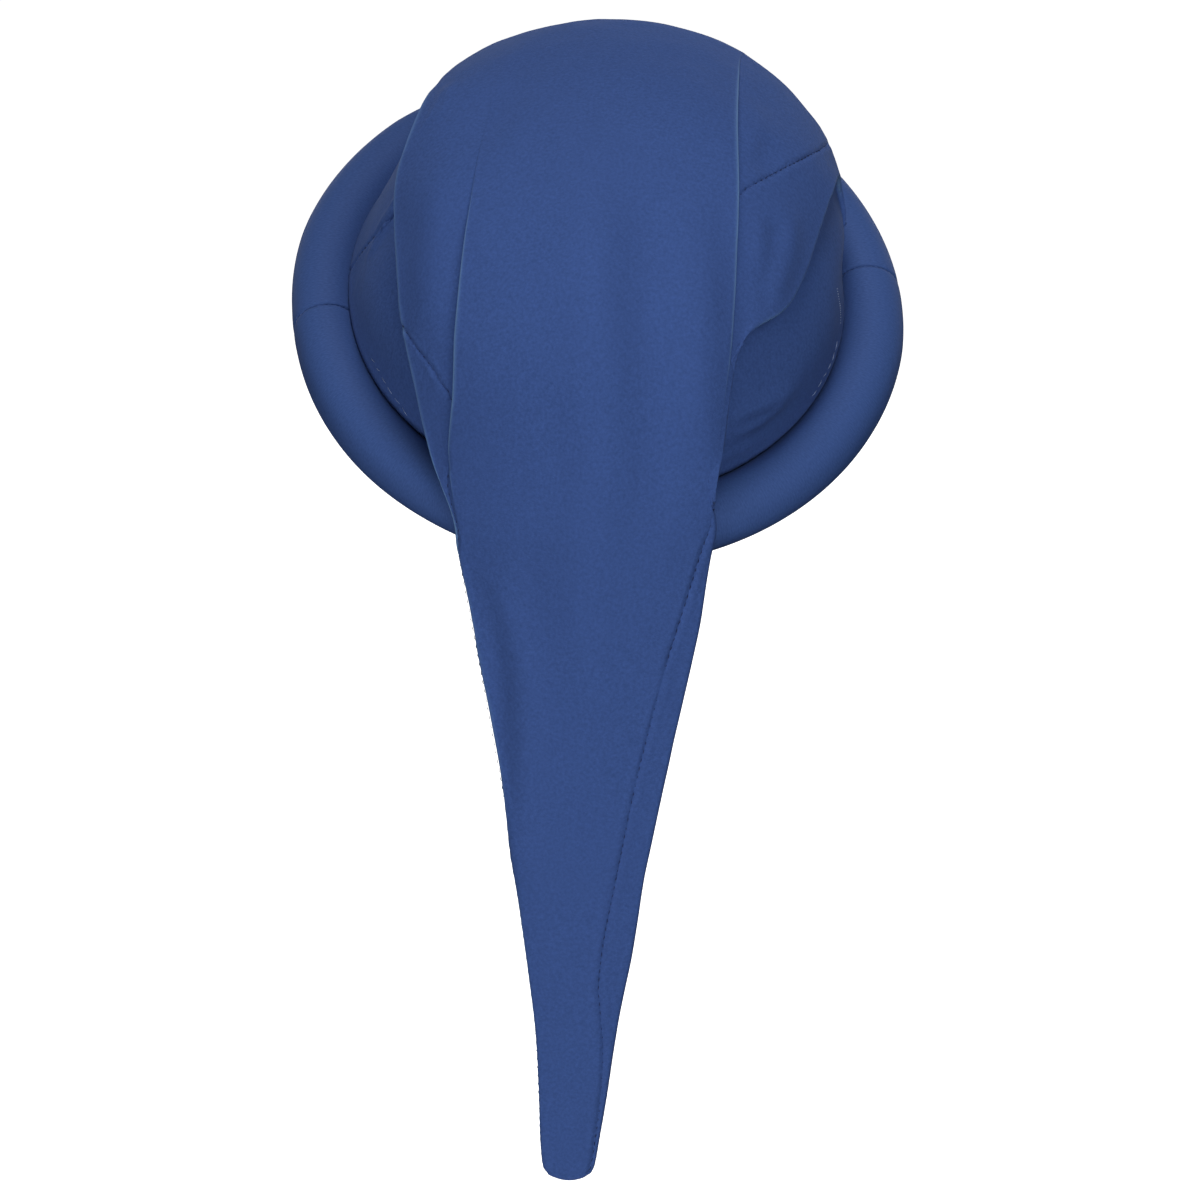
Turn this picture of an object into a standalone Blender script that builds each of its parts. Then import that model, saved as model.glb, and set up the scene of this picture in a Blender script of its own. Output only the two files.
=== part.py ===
"""Elf hat: a long cloth cone of two panels, flopped over at the back of the head, on a stuffed roll brim.

The hat frame has X to the right, Y towards the forehead and Z up through the crown, with its origin in
the middle of the head opening. The finished hat is then tipped back as it is worn, so the world has +Z up.
"""
import math
from collections import namedtuple

import bmesh
import bpy
import numpy as np

# The stuffed roll brim and the opening inside it.
OPENING_WIDTH = 0.1656
OPENING_LENGTH = 0.2002
ROLL_DIAMETER = 0.0254
ROLL_PINCH = 0.0008            # how far the seams between the two halves draw the roll in
PINCH_REACH = 0.006
# The cloth cone over the head.
CLOTH = 0.0014
GAP = 0.0003
CROWN_HEIGHT = 0.0745          # from the foot of the wall to its top, before the lifts below
SEAT_ANGLE = 48.0              # where the wall's foot sits on the roll, up from its inner side
LAYER_LIFT = 0.0100            # how far the flopped layers stand off the wall
FOLD_DEPTH = 0.0070            # thickness of the flattened cone at its folded edges
PLEAT_DEPTH = 0.0034           # height of the middle band over the layers beside it
# The tail that hangs behind the brim.
TAIL_TOP = -0.0450
TAIL_TIP = -0.2800
TAIL_WIDTH = 0.0878
TAIL_DEPTH = 0.0090
TAIL_SHIFT = -0.0037           # the tail's middle at its top, left of the hat's middle
TAIL_DRIFT = 0.0060            # how far it moves further left on its way down
EDGE_RADIUS = 0.0020           # of the tail's folded edges
TAIL_CLEARANCE = 0.0012        # between the roll and the tail that hangs over it
# How the hat is worn.
TILT = 28.25
TURN = 6.0

ROLL_RADIUS = ROLL_DIAMETER / 2
ROLL_HALF_WIDTH = OPENING_WIDTH / 2 + ROLL_RADIUS
ROLL_HALF_LENGTH = OPENING_LENGTH / 2 + ROLL_RADIUS
SEAT = ROLL_RADIUS + GAP
FOOT_INSET = SEAT * math.cos(math.radians(SEAT_ANGLE))
FOOT_HEIGHT = SEAT * math.sin(math.radians(SEAT_ANGLE))
CROWN_AXES = np.array([ROLL_HALF_WIDTH - FOOT_INSET, ROLL_HALF_LENGTH - FOOT_INSET, CROWN_HEIGHT])

# Rings of the cone from its foot to where the tail begins. Each line is where one fold or pleat crosses
# the ring: degrees round the head (0 right, 90 forehead, -90 nape, -180 left), degrees up the crown, and
# the lift as a share of LAYER_LIFT. fold is a share of FOLD_DEPTH, the steps are shares of PLEAT_DEPTH.
Ring = namedtuple("Ring", "name fold left_step right_step left_fold left_pleat middle right_pleat "
                          "right_fold inner_right inner_middle inner_left")
RINGS = [
    Ring("foot", 0.0, 0.0, 0.0, (-180, 0, 0.0), (-225, 0, 0.0), (90, 0, 0.0), (45, 0, 0.0),
         (0, 0, 0.0), (-45, 0, 0.0), (-90, 0, 0.0), (-135, 0, 0.0)),
    Ring("low wall", 0.0, 0.0, 0.0, (-184, 14, 0.3), (-226, 11, 0.3), (90, 8, 0.2), (45, 7, 0.3),
         (2, 8, 0.3), (-43, 16, 0.2), (-90, 20, 0.1), (-138, 18, 0.2)),
    Ring("high wall", 0.2, 0.0, 0.1, (-194, 29, 0.4), (-231, 23, 0.4), (90, 16, 0.4), (46, 13, 0.4),
         (6, 13, 0.4), (-41, 32, 0.1), (-90, 40, 0.0), (-142, 37, 0.1)),
    Ring("crease", 0.7, 0.0, 0.6, (-206, 46, 0.6), (-240, 36, 0.6), (90, 26, 0.4), (46, 21, 0.6),
         (10, 17, 0.5), (-36, 49, 0.1), (-90, 60, 0.1), (-147, 56, 0.1)),
    Ring("fan 1", 1.0, 0.0, 0.8, (-189, 44, 0.7), (-225, 62, 0.7), (90, 50, 0.2), (42, 40, 0.5),
         (6, 23, 0.8), (-40, 47, 0.6), (-90, 57, 0.6), (-146, 53, 0.6)),
    Ring("fan 2", 1.0, 0.1, 1.0, (-176, 42, 0.8), (-162, 62, 0.7), (90, 77, 0.2), (0, 59, 0.5),
         (-9, 32, 0.9), (-48, 45, 0.7), (-90, 53, 0.7), (-145, 48, 0.7)),
    Ring("fan 3", 1.0, 0.6, 1.0, (-160, 36, 0.8), (-141, 50, 0.7), (-92, 80, 0.4), (-37, 56, 0.6),
         (-29, 35, 1.0), (-58, 42, 0.8), (-90, 47, 0.8), (-140, 40, 0.8)),
    Ring("fan 4", 1.0, 1.0, 1.0, (-149, 27, 0.8), (-132, 35, 0.7), (-92, 58, 0.8), (-56, 44, 0.7),
         (-47, 32, 1.0), (-67, 36, 0.9), (-91, 38, 0.9), (-132, 32, 0.8)),
    Ring("fan 5", 1.0, 1.0, 0.0, (-139, 20, 1.0), (-128, 24, 0.9), (-93, 38, 1.1), (-69, 29, 1.2),
         (-65, 27, 1.1), (-77, 27, 1.1), (-92, 27, 1.1), (-122, 24, 1.0)),
    Ring("fan 6", 1.0, 0.5, 0.0, (-130, 8, 1.5), (-126, 11, 1.3), (-95, 18, 1.5), (-75, 13, 1.6),
         (-72, 12, 1.6), (-83, 13, 1.6), (-95, 13, 1.6), (-113, 10, 1.5)),
]

# Level sections of the tail. down is a share of the tail's length, drift of TAIL_DRIFT, width of
# TAIL_WIDTH and depth of TAIL_DEPTH. ridge and seam are shares of the section's width, from its left
# and from its right edge. bow is how closely the section follows the roll behind it.
Section = namedtuple("Section", "down drift width ridge seam depth bow")
SECTIONS = [
    Section(0.000, 0.00, 1.000, 0.06, 0.05, 1.00, 1.00),
    Section(0.055, 0.03, 0.962, 0.08, 0.07, 0.98, 0.95),
    Section(0.190, 0.00, 0.832, 0.16, 0.12, 0.92, 0.65),
    Section(0.370, 0.15, 0.642, 0.12, 0.17, 0.88, 0.32),
    Section(0.510, 0.23, 0.510, 0.09, 0.21, 0.80, 0.15),
    Section(0.630, 0.36, 0.427, 0.09, 0.23, 0.74, 0.05),
    Section(0.755, 0.53, 0.328, 0.10, 0.18, 0.66, 0.00),
    Section(0.880, 0.79, 0.263, 0.10, 0.10, 0.56, 0.00),
    Section(0.970, 0.97, 0.216, 0.10, 0.10, 0.46, 0.00),
    Section(1.000, 0.93, 0.176, 0.12, 0.12, 0.38, 0.00),
]

# The places of the lines round each ring, and of the side seams as they climb it.
LEFT_FOLD, LEFT_PLEAT, MIDDLE, RIGHT_PLEAT, RIGHT_FOLD, LOOP = 0, 1, 2, 3, 4, 8
Seam = namedtuple("Seam", "ring left right")
SEAMS = [
    Seam(0, 0.00, 4.00), Seam(1, -0.22, 4.00), Seam(2, -0.40, 4.00), Seam(3, -0.45, 3.90),
    Seam(4, -0.40, 3.84), Seam(5, -0.28, 3.52), Seam(6, -0.10, 3.03), Seam(7, 0.14, 3.03),
    Seam(8, 0.90, 3.96), Seam(9, 0.90, 3.96), Seam(10, 0.40, 3.50), Seam(11, 0.00, 3.00),
    Seam(19, 0.00, 3.00),
]
FOLD_COLUMNS = (0.03, 0.09)    # extra columns beside a fold, for its rounded edge
PLEAT_STEP = 0.035             # how much of a span the step of a pleat takes
SEAM_SPARE = 0.04              # no column comes closer to a seam than this
OUTER_COLUMNS = 5
INNER_COLUMNS = 4
RING_STEPS = 3
SECTION_STEPS = 2
ROLL_SEGMENTS = 26
ROLL_SIDES = 14
CREPE = (0.036, 0.074, 0.220)
ROLL_CLOTH = (0.034, 0.066, 0.205)


def clear_scene():
    for item in list(bpy.data.objects):
        bpy.data.objects.remove(item, do_unlink=True)


def worn(points):
    """Turn points of the hat frame into the world, where the hat is tipped back on the head."""
    tilt, turn = math.radians(TILT), math.radians(TURN)
    tip = np.array([[1, 0, 0], [0, math.cos(tilt), -math.sin(tilt)], [0, math.sin(tilt), math.cos(tilt)]])
    spin = np.array([[math.cos(turn), -math.sin(turn), 0], [math.sin(turn), math.cos(turn), 0], [0, 0, 1]])
    return points @ (tip @ spin).T


def unit(azimuth, latitude):
    a, b = math.radians(azimuth), math.radians(latitude)
    return np.array([math.cos(b) * math.cos(a), math.cos(b) * math.sin(a), math.sin(b)])


def smooth_curve(keys, places):
    """Read a curve through keys, one at each whole number, at the given places."""
    keys = np.asarray(keys, float)
    slopes = np.gradient(keys, axis=0)
    cell = np.clip(np.floor(places).astype(int), 0, len(keys) - 2)
    t = (places - cell)[:, None]
    a, b, da, db = keys[cell], keys[cell + 1], slopes[cell], slopes[cell + 1]
    return (a * (1 - t) ** 2 * (1 + 2 * t) + b * t ** 2 * (3 - 2 * t)
            + da * t * (1 - t) ** 2 - db * t ** 2 * (1 - t))


def fold_edge(to_fold, radius):
    """1 on the layers and 0 at the folded edges, rounded like half a circle of this radius."""
    return np.sqrt(1 - (1 - np.clip(to_fold / max(radius, CLOTH / 2), 0, 1)) ** 2)


def band(places, left_step, right_step):
    """Height of the middle band over the layers beside it, with a steep step at each pleat."""
    rise = np.clip(0.5 + (places - LEFT_PLEAT) / PLEAT_STEP, 0, 1)
    fall = np.clip(0.5 + (RIGHT_PLEAT - places) / PLEAT_STEP, 0, 1)
    across = np.clip((places - LEFT_PLEAT) / (RIGHT_PLEAT - LEFT_PLEAT), 0, 1)
    blend = across ** 2 * (3 - 2 * across)
    return rise * fall * (left_step * (1 - blend) + right_step * blend)


def ring_points(ring, places):
    """World points of one ring of the crown at places from 0 to LOOP round it."""
    outer = [ring.left_fold, ring.left_pleat, ring.middle, ring.right_pleat, ring.right_fold]
    inner = [ring.right_fold, ring.inner_right, ring.inner_middle, ring.inner_left, ring.left_fold]
    points = np.empty((len(places), 3))
    for start, lines, side in ((LEFT_FOLD, outer, 1), (RIGHT_FOLD, inner, -1)):
        here = (places >= start) & (places <= start + 4)
        at = places[here]
        corners = np.array([unit(a, b) for a, b, _ in lines])
        first, last = (np.linalg.norm((corners[i] - corners[k]) * CROWN_AXES) for i, k in ((0, 1), (3, 4)))
        to_fold = np.minimum((at - start) * first, (start + 4 - at) * last)
        heading = smooth_curve(corners, at - start)
        heading /= np.linalg.norm(heading, axis=1)[:, None]
        lift = smooth_curve([[share * LAYER_LIFT] for _, _, share in lines], at - start)[:, 0]
        half_depth = ring.fold * FOLD_DEPTH / 2
        lift += side * half_depth * fold_edge(to_fold, half_depth)
        if side > 0:
            lift += PLEAT_DEPTH * band(at, ring.left_step, ring.right_step)
        points[here] = heading * (CROWN_AXES + lift[:, None])
    points[:, 2] += FOOT_HEIGHT
    return worn(points)


def roll_back(across):
    """How far back the roll reaches at the nape, at places across the hat in the world."""
    turn = math.radians(TURN)
    sine, cosine = math.sin(turn), math.cos(turn)
    wide, long = 1 / ROLL_HALF_WIDTH ** 2, 1 / ROLL_HALF_LENGTH ** 2
    square = sine ** 2 * wide + cosine ** 2 * long
    mixed = 2 * sine * cosine * (wide - long) * across
    rest = (cosine ** 2 * wide + sine ** 2 * long) * across ** 2 - 1
    middle = (-mixed - np.sqrt(mixed ** 2 - 4 * square * rest)) / (2 * square) * math.cos(math.radians(TILT))
    slope = np.gradient(middle, across) if len(across) > 1 else 0
    return middle - ROLL_RADIUS * np.sqrt(1 + slope ** 2)


def section_points(section, places):
    """World points of one level section of the tail at places from 0 to LOOP round it."""
    width, middle = section.width * TAIL_WIDTH, TAIL_SHIFT - section.drift * TAIL_DRIFT
    left, right = middle - width / 2, middle + width / 2
    outer = [left, left + section.ridge * width, middle, right - section.seam * width, right]
    inner = np.linspace(right, left, 5)
    across = np.where(places <= RIGHT_FOLD, np.interp(places, range(5), outer),
                      np.interp(places - RIGHT_FOLD, range(5), inner))
    share = np.clip(2 * (across - middle) / width, -1, 1)
    edge = min(EDGE_RADIUS, section.depth * TAIL_DEPTH / 2)
    to_edge = np.clip((1 - np.abs(share)) * width / 2 / edge, 0, 1)
    half = edge * np.sqrt(1 - (1 - to_edge) ** 2) + (section.depth * TAIL_DEPTH / 2 - edge) * (1 - share ** 2)
    side = np.where(places <= RIGHT_FOLD, -1, 1)
    furthest = TAIL_WIDTH / 2 + abs(TAIL_SHIFT) + abs(TAIL_DRIFT)
    reach = np.linspace(-furthest, furthest, 81)
    behind = roll_back(reach)
    follow = np.interp(across, reach, behind) - behind.min()
    back = behind.min() - TAIL_CLEARANCE - TAIL_DEPTH / 2 + section.bow * follow
    height = TAIL_TOP + section.down * (TAIL_TIP - TAIL_TOP)
    return np.stack([across, back + side * half, np.full(len(places), height)], axis=1)


def column_places():
    """Places of the columns round the ring: even in each span, and close together at folds and pleats."""
    places = set()
    for line in range(LOOP):
        columns = OUTER_COLUMNS if line < RIGHT_FOLD else INNER_COLUMNS
        places.update(round(line + step / columns, 4) for step in range(columns))
    for line in (LEFT_FOLD, RIGHT_FOLD, LOOP):
        around = [line + side * share for share in FOLD_COLUMNS for side in (-1, 1)]
        places.update(round(place, 4) for place in around if 0 <= place < LOOP)
    for line in (LEFT_PLEAT, RIGHT_PLEAT):
        places.discard(line)
        places.update({round(line - PLEAT_STEP / 2, 4), round(line + PLEAT_STEP / 2, 4)})
    return np.array(sorted(places))


def cone_points(places, levels):
    """A grid on the cone's outer surface: one row for each level, one column for each place round it."""
    around = np.asarray(places) % LOOP
    rows = [ring_points(ring, around) for ring in RINGS]
    keys = np.array(rows + [section_points(section, around) for section in SECTIONS])
    return np.stack([smooth_curve(keys[:, column], levels) for column in range(len(around))], axis=1)


def row_levels():
    """Levels of the rows of points up the cone and down the tail, where a whole number is a table row."""
    crown = np.linspace(0, len(RINGS), len(RINGS) * RING_STEPS, endpoint=False)
    last = len(RINGS) + len(SECTIONS) - 1
    return np.concatenate([crown, np.linspace(len(RINGS), last, (len(SECTIONS) - 1) * SECTION_STEPS + 1)])


def seam_place(level, side):
    return np.interp(level, [seam.ring for seam in SEAMS], [getattr(seam, side) for seam in SEAMS])


def zip_rows(low, high):
    """Triangles between two rows of (place, vertex) whose places need not match."""
    faces, i, j = [], 0, 0
    while i < len(low) - 1 or j < len(high) - 1:
        if j == len(high) - 1 or (i < len(low) - 1 and low[i + 1][0] <= high[j + 1][0]):
            faces.append((low[i][1], high[j][1], low[i + 1][1]))
            i += 1
        else:
            faces.append((low[i][1], high[j][1], high[j + 1][1]))
            j += 1
    return faces


def cone_skin():
    """The cone's outer surface in two panels that share their seam vertices, with its normals."""
    columns, build = column_places(), bmesh.new()
    columns = np.concatenate([columns - LOOP, columns, columns + LOOP])
    levels = row_levels()
    grid = cone_points(columns, levels)
    panels = {"front": [], "back": []}
    for row, level in enumerate(levels):
        left, right = seam_place(level, "left"), seam_place(level, "right")
        at_left, at_right = (build.verts.new(cone_points([place], np.array([level]))[0, 0])
                             for place in (left, right))
        for side, first, last, ends in (("front", left, right, (at_left, at_right)),
                                        ("back", right, left + LOOP, (at_right, at_left))):
            inside = np.where((columns > first + SEAM_SPARE) & (columns < last - SEAM_SPARE))[0]
            between = [(columns[k], build.verts.new(grid[row, k])) for k in inside]
            panels[side].append([(first, ends[0]), *between, (last, ends[1])])
    for rows in panels.values():
        for low, high in zip(rows, rows[1:]):
            for face in zip_rows(low, high):
                build.faces.new(face)
    build.normal_update()
    return build, panels


def cloth_panel(name, rows, material):
    """A wall of cloth under one panel of the skin, with half a gap left free at each seam."""
    build = bmesh.new()
    outside, inside = {}, {}
    for row in rows:
        verts = [vert for _, vert in row]
        for place, vert in enumerate(verts):
            point, slip = vert.co.copy(), vert.co * 0
            if place in (0, len(verts) - 1):
                beside = verts[1] if place == 0 else verts[-2]
                slip = beside.co - vert.co
                slip = (slip - slip.project(vert.normal)).normalized() * GAP / 2
            outside[vert] = build.verts.new(point + slip)
            inside[vert] = build.verts.new(point + slip - vert.normal * CLOTH)
    faces = [face for low, high in zip(rows, rows[1:]) for face in zip_rows(low, high)]
    for face in faces:
        build.faces.new([outside[vert] for vert in face])
    rims = [edge for edge in build.edges if edge.is_boundary]
    to_inside = {outside[vert]: inside[vert] for vert in outside}
    for face in faces:
        build.faces.new([inside[vert] for vert in reversed(face)])
    build.verts.index_update()
    for loop in [edge.link_loops[0] for edge in rims]:
        a, b = loop.vert, loop.link_loop_next.vert
        corner, other = (b, to_inside[a]) if a.index > b.index else (a, to_inside[b])
        for end in (a, to_inside[b]) if a.index > b.index else (b, to_inside[a]):
            build.faces.new([vert for vert in (b, a, to_inside[a], to_inside[b])
                             if vert in (corner, other, end)])
    return finish(name, build, material)


def finish(name, build, material):
    mesh = bpy.data.meshes.new(name)
    build.normal_update()
    build.to_mesh(mesh)
    build.free()
    mesh.materials.append(material)
    mesh.shade_smooth()
    mesh.set_sharp_from_angle(angle=math.radians(40))
    item = bpy.data.objects.new(name, mesh)
    bpy.context.collection.objects.link(item)
    return item


def roll_half(name, begin, end, material):
    """One stuffed half of the roll brim, from one side seam to the other."""
    spare = (GAP / 2) / ROLL_HALF_LENGTH
    sweep = np.linspace(math.radians(begin) + spare, math.radians(end) - spare, ROLL_SEGMENTS + 1)
    around = np.linspace(0, 2 * math.pi, ROLL_SIDES, endpoint=False)
    build = bmesh.new()
    hoops = []
    for angle in sweep:
        centre = np.array([ROLL_HALF_WIDTH * math.cos(angle), ROLL_HALF_LENGTH * math.sin(angle), 0])
        out = np.array([ROLL_HALF_LENGTH * math.cos(angle), ROLL_HALF_WIDTH * math.sin(angle), 0])
        out /= np.linalg.norm(out)
        to_seam = min(angle - sweep[0], sweep[-1] - angle) * ROLL_HALF_WIDTH
        radius = ROLL_RADIUS - ROLL_PINCH * math.exp(-(to_seam / PINCH_REACH) ** 2)
        hoop = [centre + radius * (math.cos(t) * out + math.sin(t) * np.array([0, 0, 1])) for t in around]
        hoops.append([build.verts.new(point) for point in worn(np.array(hoop))])
    for here, there in zip(hoops, hoops[1:]):
        for i in range(ROLL_SIDES):
            j = (i + 1) % ROLL_SIDES
            build.faces.new([here[i], here[j], there[j], there[i]])
    build.faces.new(hoops[0])
    build.faces.new(list(reversed(hoops[-1])))
    bmesh.ops.recalc_face_normals(build, faces=build.faces)
    return finish(name, build, material)


def cloth_material(name, colour, roughness):
    material = bpy.data.materials.new(name)
    material.use_nodes = True
    shader = material.node_tree.nodes["Principled BSDF"]
    shader.inputs["Base Color"].default_value = (*colour, 1)
    shader.inputs["Roughness"].default_value = roughness
    shader.inputs["Metallic"].default_value = 0.0
    return material


def main():
    clear_scene()
    skin, panels = cone_skin()
    cloth_panel("front_panel", panels["front"], cloth_material("front_panel_crepe", CREPE, 0.85))
    cloth_panel("back_panel", panels["back"], cloth_material("back_panel_crepe", CREPE, 0.85))
    skin.free()
    roll_half("brim_roll_front", 0, 180, cloth_material("front_roll_cloth", ROLL_CLOTH, 0.7))
    roll_half("brim_roll_back", 180, 360, cloth_material("back_roll_cloth", ROLL_CLOTH, 0.7))


main()
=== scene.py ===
# %% [markdown]
# # A pointed cloth hat with a stuffed roll brim
# The hat is a long cone of soft crepe, sewn from a front and a back panel, on a stuffed roll that goes
# round the head. The cone is too tall to stand, so it flops over at the back, is pressed flat there in
# a few long folds, and hangs as a tapering tail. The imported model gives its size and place. This lesson
# dresses it: cloth with folds, seams and stitches, a filled roll, light and a camera.

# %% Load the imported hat
import math
from collections import namedtuple

import bmesh
import bpy
import numpy as np
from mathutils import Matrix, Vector, noise
from mathutils.kdtree import KDTree


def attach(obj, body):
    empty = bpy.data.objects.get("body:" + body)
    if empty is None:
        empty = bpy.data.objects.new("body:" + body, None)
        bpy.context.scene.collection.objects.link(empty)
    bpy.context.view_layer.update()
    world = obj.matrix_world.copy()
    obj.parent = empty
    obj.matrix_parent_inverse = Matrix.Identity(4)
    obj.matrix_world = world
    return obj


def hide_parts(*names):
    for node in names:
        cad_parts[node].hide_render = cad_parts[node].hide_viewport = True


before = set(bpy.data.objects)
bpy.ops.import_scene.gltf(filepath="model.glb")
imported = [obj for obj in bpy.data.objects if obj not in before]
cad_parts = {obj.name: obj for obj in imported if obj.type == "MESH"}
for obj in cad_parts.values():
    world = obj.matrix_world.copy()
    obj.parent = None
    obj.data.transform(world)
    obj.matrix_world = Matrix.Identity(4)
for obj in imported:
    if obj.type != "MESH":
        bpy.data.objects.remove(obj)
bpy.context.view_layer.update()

print("packed nodes:", sorted(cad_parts))

# %% [markdown]
# ## The sizes that everything hangs on
# A tailor starts from the head. The opening in the roll is 58 cm round, and the roll, the crown and the
# tail are sized from it. The hat is first laid out in a frame of its own, with X to the right, Y towards
# the forehead and Z up through the crown, and then tipped back as it is worn.

# %% Sizes in metres and degrees
OPENING_WIDTH, OPENING_LENGTH = 0.1656, 0.2002
ROLL_RADIUS = 0.0127
GAP = 0.0003
CROWN_HEIGHT = 0.0745
SEAT_ANGLE = 48.0
LAYER_LIFT = 0.0100
FOLD_DEPTH = 0.0070
PLEAT_DEPTH = 0.0034
TAIL_TOP, TAIL_TIP = -0.0450, -0.2800
TAIL_WIDTH, TAIL_DEPTH = 0.0878, 0.0090
TAIL_SHIFT, TAIL_DRIFT = -0.0037, 0.0060
TAIL_CLEARANCE = 0.0012
TIP_ROUNDING = 0.0023      # how far the tip's two corners lie above its lowest point
TILT, TURN = math.radians(28.25), math.radians(6.0)

CLOTH = 0.0008             # thickness of the cloth
PRESSED_EDGE = 0.0011      # radius of the cloth at a pressed fold
PULL_PITCH = 0.0026        # from one pull in a seam's groove to the next

HALF_WIDTH = OPENING_WIDTH / 2 + ROLL_RADIUS
HALF_LENGTH = OPENING_LENGTH / 2 + ROLL_RADIUS
SEAT = ROLL_RADIUS + GAP
INSET = SEAT * math.cos(math.radians(SEAT_ANGLE))
FOOT_HEIGHT = SEAT * math.sin(math.radians(SEAT_ANGLE))
CROWN_AXES = np.array([HALF_WIDTH - INSET, HALF_LENGTH - INSET, CROWN_HEIGHT])


def worn(points):
    """Turn points of the hat's own frame into the world, tipped back as the hat is worn."""
    back, up, cosine, sine = math.cos(TILT), math.sin(TILT), math.cos(TURN), math.sin(TURN)
    tip = np.array([[1, 0, 0], [0, back, -up], [0, up, back]])
    spin = np.array([[cosine, -sine, 0], [sine, cosine, 0], [0, 0, 1]])
    return np.asarray(points) @ (tip @ spin).T


opening = math.pi * (OPENING_WIDTH + OPENING_LENGTH) / 2
print("head opening round its inside:", round(opening * 1000), "mm")

# %% [markdown]
# ## Where the folds lie
# A draped cone is hard to sculpt but easy to write down as rings. Each ring goes once round the cone, and
# eight lines cross it: the left fold, the left pleat, the middle of the band, the right pleat, the right
# fold, and three lines on the layer that lies hidden underneath. Smooth curves join the rings, so the
# long folds run clean from the crown to the tip.

# %% Rings up the crown, each line as degrees round, degrees up and lift
Ring = namedtuple("Ring", "name fold left_step right_step left_fold left_pleat middle right_pleat "
                          "right_fold inner_right inner_middle inner_left")
RINGS = [
    Ring("foot", 0.0, 0.0, 0.0, (-180, 0, 0.0), (-225, 0, 0.0), (90, 0, 0.0), (45, 0, 0.0),
         (0, 0, 0.0), (-45, 0, 0.0), (-90, 0, 0.0), (-135, 0, 0.0)),
    Ring("low wall", 0.0, 0.0, 0.0, (-184, 14, -0.47), (-226, 11, -0.5), (90, 8, 0.1), (45, 7, 0.3),
         (2, 10, 0.0), (-43, 16, 0.2), (-90, 20, 0.1), (-138, 18, -0.06)),
    Ring("high wall", 0.2, 0.0, 0.0, (-193, 30, -0.88), (-234, 26, -0.1), (90, 16, 0.4), (46, 13, 0.4),
         (5, 12, 0.45), (-41, 32, 0.1), (-90, 40, -0.1), (-142, 37, -0.96)),
    Ring("crease", 0.7, 0.0, 0.0, (-213, 47, 0.5), (-238, 40, 0.27), (89, 27, 0.5), (45, 20, 0.92),
         (9, 17, 0.63), (-36, 49, 0.1), (-90, 60, 0.1), (-147, 56, 0.2)),
    Ring("fan 1", 1.0, 0.0, 0.12, (-199, 50, 1.0), (-225, 63, 0.46), (89, 51, 0.32), (41, 38, 0.72),
         (6, 25, 0.85), (-40, 47, 0.6), (-90, 57, 0.6), (-146, 53, 0.6)),
    Ring("fan 2", 1.0, 0.1, 1.0, (-178, 44, 0.88), (-162, 63, 0.68), (90, 77, 0.2), (1, 60, 0.49),
         (-7, 33, 0.9), (-48, 45, 0.7), (-90, 53, 0.7), (-145, 48, 0.7)),
    Ring("fan 3", 1.0, 0.6, 1.0, (-158, 36, 0.78), (-141, 50, 0.7), (-92, 80, 0.4), (-37, 56, 0.57),
         (-40, 33, 0.74), (-58, 42, 0.8), (-90, 47, 0.8), (-140, 40, 0.8)),
    Ring("fan 4", 1.0, 1.0, 0.7, (-148, 28, 0.78), (-132, 35, 0.7), (-92, 58, 0.8), (-61, 38, 0.72),
         (-58, 34, 0.93), (-69, 36, 0.9), (-91, 38, 0.9), (-132, 32, 0.8)),
    Ring("fan 5", 1.0, 1.0, 0.15, (-139, 20, 1.0), (-128, 24, 0.9), (-93, 38, 1.1), (-69.3, 25, 1.16),
         (-72, 25, 1.12), (-78, 27, 1.1), (-92, 27, 1.1), (-122, 24, 1.0)),
    Ring("fan 6", 1.0, 0.5, 0.0, (-130, 8, 1.5), (-126, 11, 1.3), (-95, 18, 1.5), (-74.2, 13, 1.6),
         (-76, 13, 1.63), (-83, 13, 1.6), (-95, 13, 1.6), (-113, 10, 1.5)),
]

# %% Level sections down the tail, as shares of its sizes
Section = namedtuple("Section", "down drift width ridge seam depth bow")
SECTIONS = [
    Section(0.000, 0.00, 1.000, 0.015, 0.05, 1.00, 1.00),
    Section(0.055, 0.03, 0.962, 0.05, 0.07, 0.98, 0.95),
    Section(0.190, 0.00, 0.832, 0.16, 0.12, 0.92, 0.65),
    Section(0.370, 0.15, 0.642, 0.12, 0.17, 0.88, 0.32),
    Section(0.510, 0.23, 0.510, 0.09, 0.21, 0.80, 0.15),
    Section(0.630, 0.36, 0.427, 0.09, 0.23, 0.74, 0.05),
    Section(0.755, 0.53, 0.328, 0.10, 0.18, 0.66, 0.00),
    Section(0.880, 0.79, 0.263, 0.10, 0.10, 0.56, 0.00),
    Section(0.970, 0.97, 0.216, 0.10, 0.10, 0.46, 0.00),
    Section(1.000, 0.93, 0.176, 0.12, 0.12, 0.38, 0.00),
]
LAST = len(RINGS) + len(SECTIONS) - 1

LEFT_PLEAT, RIGHT_PLEAT, RIGHT_FOLD, LOOP = 1, 3, 4, 8   # places round a ring, from the left fold at 0

# %% [markdown]
# ## Where the seams run
# The right seam shows on the crown beside the band and again down the tail, and the left seam crosses the
# strip beside the band. Seams could be drawn on the finished shape, but they also pass under folds. So each
# is a list of levels, which count rings and sections from the brim, with a place round the ring for each.

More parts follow.
